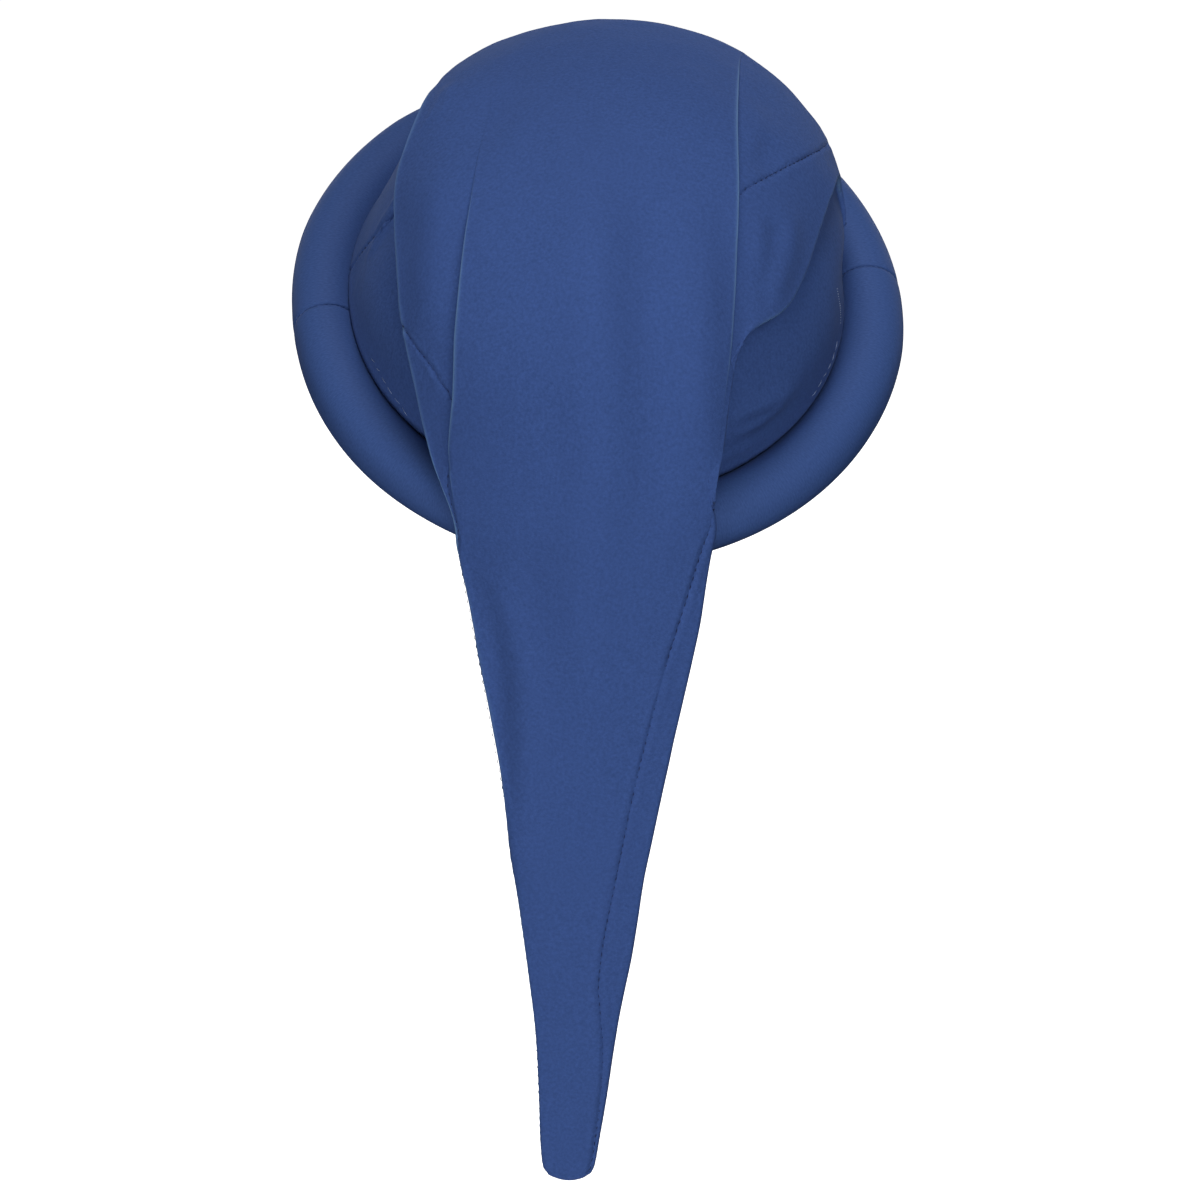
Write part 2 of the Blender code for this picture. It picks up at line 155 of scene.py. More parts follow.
# %% The two side seams, each as (level, place round the ring)
SEAMS = {
    "left": [(0, 0.24), (0.56, 0.18), (1.16, 0.08), (1.56, 0.02), (2.2, -0.10), (3, -0.25),
             (4, -0.38), (5, -0.30), (6, -0.18), (6.98, -0.04), (7.16, 0.12), (7.32, 0.28),
             (7.44, 0.46), (7.6, 0.64), (7.84, 0.78), (8.04, 0.92), (8.2, 1.0), (9.2, 1.0),
             (10, 0.5), (11, 0.0), (19, 0.0)],
    "right": [(0, 3.75), (1, 3.72), (2.4, 3.66), (3.2, 3.70), (3.72, 3.78), (4.24, 3.78),
              (4.56, 3.74), (4.76, 3.68), (4.92, 3.62), (5.08, 3.54), (5.24, 3.44), (5.36, 3.36),
              (5.52, 3.26), (5.68, 3.16), (5.8, 3.08), (5.92, 3.0), (7.4, 3.0), (7.55, 3.3),
              (7.75, 3.75), (8.0, 3.92), (9, 3.96), (9.73, 3.63), (10.45, 3.38), (11.12, 3.22),
              (11.55, 3.12), (11.93, 3.03), (12.3, 3.0), (13.78, 2.98), (14.38, 2.92),
              (14.83, 2.83), (15.25, 2.77), (15.53, 2.75), (15.95, 2.92), (16.45, 3.18),
              (16.85, 3.22), (19, 3.3)],
}
TURNS_OVER = {"left": (3.1,), "right": (3.1, 8.0, 9.1, 9.6)}   # levels where a seam goes over a fold

# %% [markdown]
# ## Smooth curves through the rings
# A spline tool could loft the rings, but it wouldn't keep a pressed fold sharp while it smooths the rest.
# A short function that reads a curve through key values does both: it runs across each ring between the
# folds, where it may turn freely, and along the cone, where every line stays smooth.

# %% Read a smooth curve through keys at whole numbers
def smooth_curve(keys, places):
    keys = np.asarray(keys, float)
    slopes = np.gradient(keys, axis=0)
    cell = np.clip(np.floor(places).astype(int), 0, len(keys) - 2)
    t = (places - cell)[:, None]
    a, b, da, db = keys[cell], keys[cell + 1], slopes[cell], slopes[cell + 1]
    return (a * (1 - t) ** 2 * (1 + 2 * t) + b * t ** 2 * (3 - 2 * t)
            + da * t * (1 - t) ** 2 - db * t ** 2 * (1 - t))


def unit(azimuth, latitude):
    a, b = math.radians(azimuth), math.radians(latitude)
    return np.array([math.cos(b) * math.cos(a), math.cos(b) * math.sin(a), math.sin(b)])


def fade(x):
    """0 below 0, 1 above 1, and smooth between."""
    x = np.clip(x, 0, 1)
    return x * x * (3 - 2 * x)


def way_along(line):
    """How far along a line of points each of them is."""
    return np.concatenate([[0], np.cumsum(np.linalg.norm(np.diff(line, axis=0), axis=1))])


def apart(places, other):
    """From places to another place, the shorter way round the ring."""
    return np.abs((places - other + LOOP / 2) % LOOP - LOOP / 2)


def pressed(to_fold, half_depth):
    """Half the flattened cone's thickness at a distance from its fold: a tight edge, then a slow swell."""
    edge = min(PRESSED_EDGE, half_depth)
    swell = fade((to_fold - edge / 2) / 0.020) ** 0.75
    tight = np.sqrt(1 - (1 - np.clip(to_fold / max(edge, 1e-5), 0, 1)) ** 2)
    return edge * tight + (half_depth - edge) * swell


# %% One ring of the crown and one section of the tail
def ring_points(ring, places, band):
    """Points of a ring in the world. band is 1 on the raised middle band and 0 beside it."""
    outer = [ring.left_fold, ring.left_pleat, ring.middle, ring.right_pleat, ring.right_fold]
    inner = [ring.right_fold, ring.inner_right, ring.inner_middle, ring.inner_left, ring.left_fold]
    points = np.empty((len(places), 3))
    for start, lines, side in ((0, outer, 1), (RIGHT_FOLD, inner, -1)):
        here = (places >= start) & (places <= start + 4)
        at = places[here]
        corners = np.array([unit(a, b) for a, b, _ in lines])
        first, last = (np.linalg.norm((corners[i] - corners[k]) * CROWN_AXES)
                       for i, k in ((0, 1), (3, 4)))
        to_fold = np.minimum((at - start) * first, (start + 4 - at) * last)
        heading = smooth_curve(corners, at - start)
        heading /= np.linalg.norm(heading, axis=1)[:, None]
        lift = smooth_curve([[share * LAYER_LIFT] for _, _, share in lines], at - start)[:, 0]
        lift += side * pressed(to_fold, ring.fold * FOLD_DEPTH / 2)
        if side > 0:
            across = fade((at - LEFT_PLEAT) / (RIGHT_PLEAT - LEFT_PLEAT))
            step = ring.left_step * (1 - across) + ring.right_step * across
            lift += PLEAT_DEPTH * band[here] * step
        points[here] = heading * (CROWN_AXES + lift[:, None])
    points[:, 2] += FOOT_HEIGHT
    return worn(points)


def roll_reach(across):
    """How far back the roll reaches at the nape, at places across the hat."""
    sine, cosine = math.sin(TURN), math.cos(TURN)
    wide, long = 1 / HALF_WIDTH ** 2, 1 / HALF_LENGTH ** 2
    square = sine ** 2 * wide + cosine ** 2 * long
    mixed = 2 * sine * cosine * (wide - long) * across
    rest = (cosine ** 2 * wide + sine ** 2 * long) * across ** 2 - 1
    middle = (-mixed - np.sqrt(mixed ** 2 - 4 * square * rest)) / (2 * square) * math.cos(TILT)
    return middle - ROLL_RADIUS * np.sqrt(1 + np.gradient(middle, across) ** 2)


def section_points(section, places):
    width, middle = section.width * TAIL_WIDTH, TAIL_SHIFT - section.drift * TAIL_DRIFT
    left, right = middle - width / 2, middle + width / 2
    outer = [left, left + section.ridge * width, middle, right - section.seam * width, right]
    across = np.where(places <= RIGHT_FOLD, np.interp(places, range(5), outer),
                      np.interp(places - RIGHT_FOLD, range(5), np.linspace(right, left, 5)))
    share = np.clip(2 * (across - middle) / width, -1, 1)
    edge = min(PRESSED_EDGE, section.depth * TAIL_DEPTH / 2)
    to_edge = np.clip((1 - np.abs(share)) * width / 2 / edge, 0, 1)
    half = edge * np.sqrt(1 - (1 - to_edge) ** 2)
    half += (section.depth * TAIL_DEPTH / 2 - edge) * (1 - share ** 2)
    side = np.where(places <= RIGHT_FOLD, -1, 1)
    furthest = TAIL_WIDTH / 2 + abs(TAIL_SHIFT) + abs(TAIL_DRIFT)
    reach = np.linspace(-furthest, furthest, 81)
    behind = roll_reach(reach)
    follow = np.interp(across, reach, behind) - behind.min()
    back = behind.min() - TAIL_CLEARANCE - TAIL_DEPTH / 2 + section.bow * follow
    corners = TIP_ROUNDING if section.down == 1 else 0.0
    height = TAIL_TOP + section.down * (TAIL_TIP - TAIL_TOP) + corners * share ** 2
    return np.stack([across, back + side * half, height], axis=1)


def cone_points(places, levels, band):
    around = np.asarray(places) % LOOP
    rows = [ring_points(ring, around, band) for ring in RINGS]
    keys = np.array(rows + [section_points(section, around) for section in SECTIONS])
    return np.stack([smooth_curve(keys[:, column], levels) for column in range(len(around))], axis=1)


# %% [markdown]
# ## A pleat that is really folded
# The middle band lies over the cloth beside it. A plain step would look moulded, so the cloth goes where
# real cloth goes: under the band, round a tight turn, back out, and over the pressed edge. These few
# points are that S in cross-section. Light then dies under the edge, as it does on the real hat.

# %% The cross-section of a pleat: millimetres inside the pressed edge, and height as a share
PLEAT_TURN = [(-1.2, 0.00), (0.2, 0.00), (1.2, 0.00), (2.0, 0.03), (2.4, 0.14), (2.2, 0.28), (1.5, 0.40),
              (0.8, 0.49), (0.35, 0.57), (0.08, 0.68), (0.0, 0.79), (0.09, 0.90), (0.4, 0.97),
              (0.9, 1.00), (1.6, 1.00)]
PLEAT_ZONE = 0.012         # how much of the way round, to each side of a pleat's line, its turn takes
PLEATS = ((LEFT_PLEAT, 1), (RIGHT_PLEAT, -1))   # each pleat's line, and which way the band lies from it
Column = namedtuple("Column", "place band slip pleat")


def cone_columns():
    """Columns round the cone: even in each span, close at folds, and one for each point of a pleat."""
    places = set()
    for line, count in enumerate(SPANS):
        places.update(line + step / count for step in range(count))
    for line in (0, RIGHT_FOLD, LOOP):
        places.update(line + side * share for share in (0.004, 0.010, 0.018, 0.028, 0.040, 0.075, 0.13)
                      for side in (-1, 1) if 0 <= line + side * share < LOOP)
    kept = [p for p in places
            if not any(-0.075 < (p - pleat) * way < 0.052 for pleat, way in PLEATS)]
    columns = [Column(p, float(LEFT_PLEAT < p < RIGHT_PLEAT), 0.0, 0) for p in kept]
    for pleat, way in PLEATS:
        for number, (inside, height) in enumerate(PLEAT_TURN):
            at = pleat + way * PLEAT_ZONE * (number / (len(PLEAT_TURN) - 1) - 0.5) * 2
            columns.append(Column(at, height, way * inside / 1000, pleat))
    return sorted(columns)


SPANS = (18, 30, 30, 18, 13, 13, 13, 13)   # columns between each two lines
COLUMNS = cone_columns()


# %% [markdown]
# ## Soft wrinkles and sewn grooves
# Between its folds the cloth isn't flat. It carries long soft rolls down the band, short pulls beside the
# seams and a faint unevenness all over. Each wrinkle here is a line drawn on the cone, with a width and a
# height, and a seam is a groove that the stitches pull deeper once every stitch.

# %% Wrinkles as lines of places and levels on the cone
Wrinkle = namedtuple("Wrinkle", "width height line")
WRINKLES = [
    Wrinkle(0.0070, 0.0020, [(1.15, 10.8), (1.12, 12.0), (1.05, 13.0), (0.80, 14.2), (0.80, 15.2)]),
    Wrinkle(0.0060, -0.0013, [(0.60, 10.8), (0.60, 12.0), (0.50, 13.0), (0.30, 14.0)]),
    Wrinkle(0.0110, 0.0024, [(1.86, 5.4), (1.86, 8.0), (1.98, 9.6), (2.05, 12.4), (2.0, 14.0)]),
    Wrinkle(0.0100, -0.0021, [(2.25, 6.0), (2.28, 8.4), (2.45, 9.6), (2.6, 11.0)]),
    Wrinkle(0.0090, 0.0018, [(2.62, 6.0), (2.70, 8.0), (2.80, 9.6)]),
    Wrinkle(0.0050, 0.0010, [(3.28, 5.7), (3.38, 7.0)]),
    Wrinkle(0.0050, -0.0011, [(3.46, 5.6), (3.62, 6.85)]),
    Wrinkle(0.0050, 0.0010, [(3.62, 5.4), (3.76, 6.6)]),
    Wrinkle(0.0050, -0.0011, [(3.30, 4.9), (3.28, 5.5)]),
    Wrinkle(0.0040, 0.0009, [(3.20, 4.6), (3.14, 5.4)]),
    Wrinkle(0.0030, 0.0015, [(5.50, 0.98), (5.38, 0.88), (5.24, 0.84), (5.02, 0.68)]),
    Wrinkle(0.0024, 0.0011, [(5.50, 0.62), (5.34, 0.60), (5.22, 0.64), (5.10, 0.60)]),
    Wrinkle(0.0026, 0.0013, [(5.55, 0.30), (5.38, 0.20), (5.28, 0.12)]),
    Wrinkle(0.0024, 0.0010, [(8.00, 0.85), (7.99, 1.20), (8.00, 1.55), (8.02, 2.0)]),
    Wrinkle(0.0020, 0.0009, [(8.10, 1.20), (8.08, 1.50), (8.06, 1.80), (8.06, 2.2)]),
    Wrinkle(0.0018, 0.0006, [(0.36, 3.7), (0.30, 4.1), (0.20, 4.5)]),
    Wrinkle(0.0018, 0.0006, [(0.46, 3.7), (0.42, 4.1), (0.36, 4.5)]),
    Wrinkle(0.0070, 0.0006, [(0.62, 4.8), (0.58, 5.4), (0.58, 6.4), (0.50, 7.4)]),
]


def line_on_cone(line, step=0.25):
    """A dense line of places and levels, with its points in the world."""
    keys = np.array(line, float)
    at = np.arange(0, len(keys) - 1 + 1e-6, step)
    dense = smooth_curve(keys, at) if len(keys) > 2 else keys[0] + at[:, None] * (keys[1] - keys[0])
    band = np.where((dense[:, 0] > LEFT_PLEAT) & (dense[:, 0] < RIGHT_PLEAT), 1.0, 0.0)
    points = [cone_points([p], np.array([v]), np.array([b]))[0, 0] for (p, v), b in zip(dense, band)]
    return np.array(points)


def near_line(points, line):
    """Distance from points to a line of points, and how far along the line the nearest part is."""
    a, b = line[:-1], line[1:]
    along = b - a
    lengths = np.linalg.norm(along, axis=1)
    start = np.concatenate([[0], np.cumsum(lengths)])[:-1]
    best, where = np.full(len(points), 9.0), np.zeros(len(points))
    for p, d, length, begin in zip(a, along, lengths, start):
        t = np.clip(((points - p) @ d) / (length ** 2 + 1e-12), 0, 1)
        off = np.linalg.norm(points - (p + t[:, None] * d), axis=1)
        closer = off < best
        best[closer], where[closer] = off[closer], (begin + t * length)[closer]
    return best, where, lengths.sum()


def wrinkle_height(points, places):
    """Height of all wrinkles at points of the cone."""
    height = np.zeros(len(points))
    for wrinkle in WRINKLES:
        line = line_on_cone(wrinkle.line)
        middle = np.mean([place for place, _ in wrinkle.line])
        close = (apart(places, middle) < 1.2) & (np.linalg.norm(points - line.mean(0), axis=1) < 0.2)
        off, along, length = near_line(points[close], line)
        ends = fade(along / length / 0.3) * fade((1 - along / length) / 0.3)
        height[close] += wrinkle.height * np.exp(-(off / wrinkle.width) ** 2) * ends
    return height


def unevenness(points):
    """A faint slow swell of the cloth, stretched along its hang."""
    values = [noise.noise(Vector((x * 70, y * 70, z * 26)))
              + 0.4 * noise.noise(Vector((x * 150, y * 150, z * 70))) for x, y, z in points]
    return 0.00035 * np.array(values)


# %% [markdown]
# ## Two panels that share their seams
# The cone could be one mesh with a painted line, but the real one is two pieces of cloth, and its seams
# wander over the folds. So each row of the cone is cut at its two seams, and each side goes to its own
# panel. Extra columns close to the seam give the groove a few edges to bend on.

# %% Cut each row at the seams
def seam_place(level, side):
    return np.interp(level, *zip(*SEAMS[side]))


def row_levels(crown_steps=21, tail_steps=18):
    crown = np.linspace(0, len(RINGS), len(RINGS) * crown_steps, endpoint=False)
    return np.concatenate([crown, np.linspace(len(RINGS), LAST, (LAST - len(RINGS)) * tail_steps + 1)])


LEVELS = row_levels()
STEPS = {}                 # how far each pleat stands up at each level
for pleat, name in ((LEFT_PLEAT, "left_step"), (RIGHT_PLEAT, "right_step")):
    keys = [[getattr(ring, name)] for ring in RINGS] + [[0]] * len(SECTIONS)
    STEPS[pleat] = np.clip(smooth_curve(keys, LEVELS)[:, 0], 0, 1.05)
places = np.array([column.place for column in COLUMNS])
bands = np.array([column.band for column in COLUMNS])
GRID = cone_points(places, LEVELS, bands)
for pleat in (LEFT_PLEAT, RIGHT_PLEAT):
    sides = cone_points([pleat - 0.05, pleat + 0.05], LEVELS, np.zeros(2))
    across = sides[:, 1] - sides[:, 0]
    across /= np.linalg.norm(across, axis=1)[:, None]
    for number, column in enumerate(COLUMNS):
        if column.pleat == pleat:
            GRID[:, number] += across * (column.slip * STEPS[pleat])[:, None]


def tucked_foot(foot, angles):
    """Rows that carry the foot of the wall down round the roll's inner side, where it is sewn on."""
    tip = worn(np.eye(3))
    flat = foot @ tip.T
    out = flat[:, :2] / CROWN_AXES[:2] ** 2
    out = np.hstack([out / np.linalg.norm(out, axis=1)[:, None], np.zeros((len(out), 1))])
    middle = flat + out * INSET - np.array([0, 0, FOOT_HEIGHT])
    return np.array([worn(middle - out * SEAT * math.cos(angle) + np.array([0, 0, SEAT * math.sin(angle)]))
                     for angle in np.radians(angles)])


FOOT_ANGLES = (4, 12, 20, 28, 35, 41, 45)
GRID = np.concatenate([tucked_foot(GRID[0], FOOT_ANGLES), GRID])
LEVELS = np.concatenate([(np.array(FOOT_ANGLES) - SEAT_ANGLE) / 300, LEVELS])
STEPS = {pleat: np.concatenate([np.zeros(len(FOOT_ANGLES)), steps]) for pleat, steps in STEPS.items()}
print("grid of", GRID.shape[0], "rows and", GRID.shape[1], "columns")

# %% Points at any place of a row, read from the grid
SPREAD = np.concatenate([places - LOOP, places, places + LOOP])
WIDE = np.concatenate([GRID, GRID, GRID], axis=1)


def row_point(row, place):
    right = int(np.clip(np.searchsorted(SPREAD, place), 1, len(SPREAD) - 1))
    left = right - 1
    t = (place - SPREAD[left]) / (SPREAD[right] - SPREAD[left])
    return WIDE[row, left] * (1 - t) + WIDE[row, right] * t


seam_lines = {}
for side in SEAMS:
    line = np.array([row_point(row, seam_place(level, side)) for row, level in enumerate(LEVELS)])
    seam_lines[side] = line
    print(side, "seam:", round(way_along(line)[-1] * 1000), "mm")


# %% Stitch each panel's rows into faces
BESIDE_SEAM = (0.0003, 0.0007, 0.0012, 0.0019, 0.0028)   # metres from a seam to its extra columns
TOO_CLOSE = 0.00012


def panel_row(row, first, last):
    """Places and points of one row from its first seam to its last."""
    inside = np.where((SPREAD > first + 1e-4) & (SPREAD < last - 1e-4))[0]
    at = np.concatenate([[first], SPREAD[inside], [last]])
    points = np.vstack([row_point(row, first), WIDE[row, inside], row_point(row, last)])
    along = way_along(points)
    beside = np.array([step for step in BESIDE_SEAM if step < along[-1] / 3])
    extra = np.concatenate([beside, along[-1] - beside])
    crowded = np.abs(along[1:-1, None] - extra).min(axis=1) < TOO_CLOSE
    kept = np.concatenate([[True], ~crowded, [True]])
    spots = np.sort(np.concatenate([along[kept], extra]))
    return (list(np.interp(spots, along, at)),
            list(np.stack([np.interp(spots, along, points[:, k]) for k in range(3)], axis=1)),
            list(np.minimum(spots, along[-1] - spots)))


def zip_rows(low, high, low_at, high_at):
    faces, i, j = [], 0, 0
    while i < len(low) - 1 or j < len(high) - 1:
        if j == len(high) - 1 or (i < len(low) - 1 and low_at[i + 1] <= high_at[j + 1]):
            faces.append((low[i], high[j], low[i + 1]))
            i += 1
        else:
            faces.append((low[i], high[j], high[j + 1]))
            j += 1
    return faces


def panel_mesh(name, start, end, turn):
    """One panel as an open sheet, with each vertex's place, level and way to the nearest seam."""
    points, faces, where, previous = [], [], [], None
    for row, level in enumerate(LEVELS):
        at, row_points, to_seam = panel_row(row, seam_place(level, start), seam_place(level, end) + turn)
        numbers = list(range(len(points), len(points) + len(at)))
        points += row_points
        where += [(place, level, off) for place, off in zip(at, to_seam)]
        if previous:
            faces += zip_rows(previous[0], numbers, previous[1], at)
        previous = (numbers, at)
    mesh = bpy.data.meshes.new(name)
    mesh.from_pydata([tuple(point) for point in points], [], faces)
    mesh.update()
    return mesh, np.array(where)


# %% Press the groove of a seam, the wrinkles and the slow swell into a sheet
GROOVE_DEPTH, GROOVE_PULL, GROOVE_WIDTH = 0.00022, 0.00030, 0.0007
PUCKER_HEIGHT, PUCKER_OFF, PUCKER_WIDTH = 0.00020, 0.0021, 0.0011
GROOVE_REACH = 0.0048      # nothing further than this along the cloth belongs to the seam


def seam_groove(points, level, to_seam):
    """How far down the cloth is drawn at the seams: deeper at each stitch, with a low pucker beside it."""
    depth = np.zeros(len(points))
    same_layer = fade((GROOVE_REACH - to_seam) / 0.0016)
    for side, line in seam_lines.items():
        off, along = near_long_line(points, line)
        stitch = 0.5 + 0.5 * np.cos(2 * math.pi * along / PULL_PITCH)
        drawn_in = -(GROOVE_DEPTH + GROOVE_PULL * stitch) * np.exp(-(off / GROOVE_WIDTH) ** 2)
        pucker = np.exp(-((off - PUCKER_OFF) / PUCKER_WIDTH) ** 2)
        drawn_in += PUCKER_HEIGHT * (0.6 + 0.4 * stitch) * pucker
        for turns_over in TURNS_OVER[side]:
            drawn_in *= 1 - 0.9 * np.exp(-((level - turns_over) / 0.8) ** 2)
        depth += drawn_in
    return depth * same_layer


def steady_normals(mesh, where):
    """Normals for moving the cloth: a pleat's hidden turn takes the one of the band that lies over it."""
    normals = np.array([vert.normal[:] for vert in mesh.vertices])
    around, level = where[:, 0] % LOOP, where[:, 1]
    for pleat, way in PLEATS:
        inside = (around - pleat) * way
        turn = np.where(np.abs(inside) < PLEAT_ZONE * 1.02)[0]
        over = np.where((inside > PLEAT_ZONE * 1.02) & (inside < 0.12))[0]
        first = {}
        for number in over[np.argsort(inside[over])]:
            first.setdefault(level[number], number)
        for number in turn:
            if level[number] in first:
                normals[number] = normals[first[level[number]]]
    return normals


def near_long_line(points, line):
    """As near_line, for a long line, through a search tree of its own dense points."""
    along = way_along(line)
    dense = np.arange(0, along[-1], 0.0003)
    spots = np.stack([np.interp(dense, along, line[:, k]) for k in range(3)], axis=1)
    tree = KDTree(len(spots))
    for number, spot in enumerate(spots):
        tree.insert(spot, number)
    tree.balance()
    found = [tree.find(point)[1:] for point in points]
    return np.array([off for _, off in found]), dense[[number for number, _ in found]]


def shape_cloth(mesh, where):
    points = np.array([vert.co[:] for vert in mesh.vertices])
    normals = steady_normals(mesh, where)
    place, level, to_seam = where.T
    free = fade(level / 0.6)   # nothing shifts where the wall is sewn to the roll
    height = (wrinkle_height(points, place) + unevenness(points)) * free
    height += seam_groove(points, level, to_seam)
    points += normals * height[:, None]
    mesh.vertices.foreach_set("co", points.ravel())
    mesh.update()
    return points


# %% [markdown]
# ## Thread directions and pressed edges
# The weave has to follow the cloth, so each panel gets a UV map in metres: across from the middle of the
# band, and along from the brim. A second layer of numbers marks how close a point is to a pressed edge,
# where a fine pale line is painted on the cloth: a painted highlight of the light that catches the fold.

# %% UV map in metres and edge marks
def lay_threads(mesh, where):
    along = way_along(GRID[:, len(COLUMNS) // 3])
    every = 12             # measuring across every twelfth row is enough
    across = np.array([way_along(row) for row in WIDE[::every]])
    across -= across[:, [int(np.searchsorted(SPREAD, 2.0))]]   # from the middle of the band
    row = np.interp(where[:, 1], LEVELS, range(len(LEVELS)))
    low = np.clip((row / every).astype(int), 0, len(across) - 1)
    u = np.array([np.interp(place, SPREAD, across[k]) for place, k in zip(where[:, 0], low)])
    v = np.interp(where[:, 1], LEVELS, along)
    layer = mesh.uv_layers.new(name="threads")
    corner = np.array([loop.vertex_index for loop in mesh.loops])
    layer.data.foreach_set("uv", np.stack([u[corner], v[corner]], axis=1).ravel())


EDGE_TURN = 10.8           # where the pressed edge lies in the list of a pleat's points


def mark_edges(mesh, where, points):
    """Mask of the painted highlight: 1 on a pressed edge and 0 away from it, with the two pleats fading as
    their steps do.
    """
    edge = np.zeros(len(points))
    place, level, _ = where.T
    for pleat, way in PLEATS:
        share = (place % LOOP - pleat) * way / PLEAT_ZONE
        turn = (share + 1) / 2 * (len(PLEAT_TURN) - 1)
        strength = np.interp(level, LEVELS, fade(STEPS[pleat] * 1.5))
        edge = np.maximum(edge, strength * np.exp(-((turn - EDGE_TURN) / 1.75) ** 2))
    for fold, ends, width in ((0, LAST + 1, 0.0012), (RIGHT_FOLD, 7.0, 0.0008)):
        line = np.array([row_point(row, fold) for row in range(len(LEVELS))])
        off, _ = near_long_line(points, line)
        strength = fade((level - 2.6) / 1.0) * fade((0.25 - apart(place, fold)) / 0.1)
        strength *= fade((ends - level) / 0.5)
        edge = np.maximum(edge, strength * np.exp(-(off / width) ** 2))
    attribute = mesh.attributes.new("pressed_edge", "FLOAT", "POINT")
    attribute.data.foreach_set("value", edge)


# %% Build the two panels and give them their thickness
def only(item):
    """Make one object the only one that is selected."""
    for other in list(bpy.context.selected_objects):
        other.select_set(False)
    bpy.context.view_layer.objects.active = item
    item.select_set(True)


def add_object(name, mesh):
    item = bpy.data.objects.new(name, mesh)
    bpy.context.collection.objects.link(item)
    return item


def apply_modifier(item, kind, **settings):
    only(item)
    modifier = item.modifiers.new(kind.lower(), kind)
    for key, value in settings.items():
        setattr(modifier, key, value)
    bpy.ops.object.modifier_apply(modifier=modifier.name)


def sewn_panel(name, start, end, turn):
    mesh, where = panel_mesh(name, start, end, turn)
    points = shape_cloth(mesh, where)
    lay_threads(mesh, where)
    mark_edges(mesh, where, points)
    item = add_object(name, mesh)
    area = sum(face.area for face in mesh.polygons)
    thick = item.vertex_groups.new(name="thick")   # thinner in a pleat's turn, so its layers don't cross
    for number, place in enumerate(where[:, 0] % LOOP):
        away = min(abs(place - LEFT_PLEAT), abs(place - RIGHT_PLEAT)) - PLEAT_ZONE
        thick.add([number], float(fade(away / 0.12)), "REPLACE")
    apply_modifier(item, "SOLIDIFY", thickness=CLOTH, offset=-1.0, use_rim=True, use_quality_normals=True,
                   vertex_group="thick", thickness_vertex_group=0.10)
    mesh.shade_smooth()
    return item, area


front_cloth, front_area = sewn_panel("front_cloth", "left", "right", 0)
back_cloth, back_area = sewn_panel("back_cloth", "right", "left", LOOP)
print("front panel", len(front_cloth.data.polygons), "faces,", round(front_area * 1e4), "square cm")
print("back panel", len(back_cloth.data.polygons), "faces,", round(back_area * 1e4), "square cm")

# %% [markdown]
# ## The stuffed roll
# The brim is a tube of cloth, filled firmly and closed on itself, covered in two lengths that meet at the
# sides. A torus would be too even: the real roll is fuller at one side of the forehead and flatter behind.
# So each half is swept as a ring that swells and flattens on its way round. A cloth simulation with
# pressure inside then runs on it, pinned where it is sewn to the crown and at its ends. It moves the
# cloth by only 0.02 mm, so the swept ring is what shows.

# %% Sweep one half of the roll with its seam line pinned
ROLL_ROUND, ROLL_LONG = 40, 150
SEWN_AT = math.radians(132)   # the crown is sewn on here, measured up from the roll's outer side


def roll_pull(angle, t):
    """How far the roll swells or is squashed in, at an angle round the hat and t round the tube."""
    at = math.degrees(angle) % 360
    swollen = np.interp(at, (0, 95, 125, 155, 175, 360), (0, 0, 0.16, 0.10, 0, 0))
    squashed = np.interp(at, (0, 158, 185, 215, 240, 300, 325, 345),
                         (0, 0, 0.13, 0.16, 0.22, 0.22, 0.12, 0))
    squashed_at = np.interp(at, (0, 185, 240, 300, 345), (0, 0, -0.84, -0.84, -0.4))
    turn = (t + math.pi) % (2 * math.pi) - math.pi
    return (swollen * math.exp(-((turn - 0.35) / 0.95) ** 2)
            - squashed * math.exp(-((turn - squashed_at) / 0.75) ** 2))


def roll_shell(name, begin, end):
    angles = np.linspace(math.radians(begin), math.radians(end), ROLL_LONG + 1)
    spare = GAP / 2 / HALF_LENGTH
    angles[0] += spare
    angles[-1] -= spare
    build = bmesh.new()
    pins, hoops = [], []
    for number, angle in enumerate(angles):
        centre = np.array([HALF_WIDTH * math.cos(angle), HALF_LENGTH * math.sin(angle), 0])
        out = np.array([HALF_LENGTH * math.cos(angle), HALF_WIDTH * math.sin(angle), 0])
        out /= np.linalg.norm(out)
        to_end = min(number, ROLL_LONG - number) / ROLL_LONG * math.pi * HALF_LENGTH
        radius = ROLL_RADIUS * (0.988 - 0.011 * math.exp(-(to_end / 0.0014) ** 2))
        hoop = []
        for side in range(ROLL_ROUND):
            t = 2 * math.pi * side / ROLL_ROUND
            tuck = 0.02 * math.exp(-((t - SEWN_AT) / 0.16) ** 2)
            away = radius * (1 - tuck + roll_pull(angle, t))
            hoop.append(centre + away * (math.cos(t) * out + math.sin(t) * np.array([0, 0, 1])))
            end_pin = 1.0 if number in (0, ROLL_LONG) else 0.0
            pins.append(max(end_pin, math.exp(-((t - SEWN_AT) / 0.10) ** 2)))
        hoops.append([build.verts.new(point) for point in worn(np.array(hoop))])
    for here, there in zip(hoops, hoops[1:]):
        for i in range(ROLL_ROUND):
            j = (i + 1) % ROLL_ROUND
            build.faces.new([here[i], here[j], there[j], there[i]])
    build.faces.new(hoops[0])
    build.faces.new(list(reversed(hoops[-1])))
    bmesh.ops.recalc_face_normals(build, faces=build.faces)
    firm = build.edges.layers.float.new("crease_edge")   # square ends keep the seam a fine line
    for hoop in (hoops[0], hoops[-1]):
        for here, there in zip(hoop, hoop[1:] + hoop[:1]):
            build.edges.get((here, there))[firm] = 0.85
    mesh = bpy.data.meshes.new(name)
    build.to_mesh(mesh)
    build.free()
    item = add_object(name, mesh)
    group = item.vertex_groups.new(name="sewn")
    for number, weight in enumerate(pins):
        group.add([number], weight, "REPLACE")
    return item


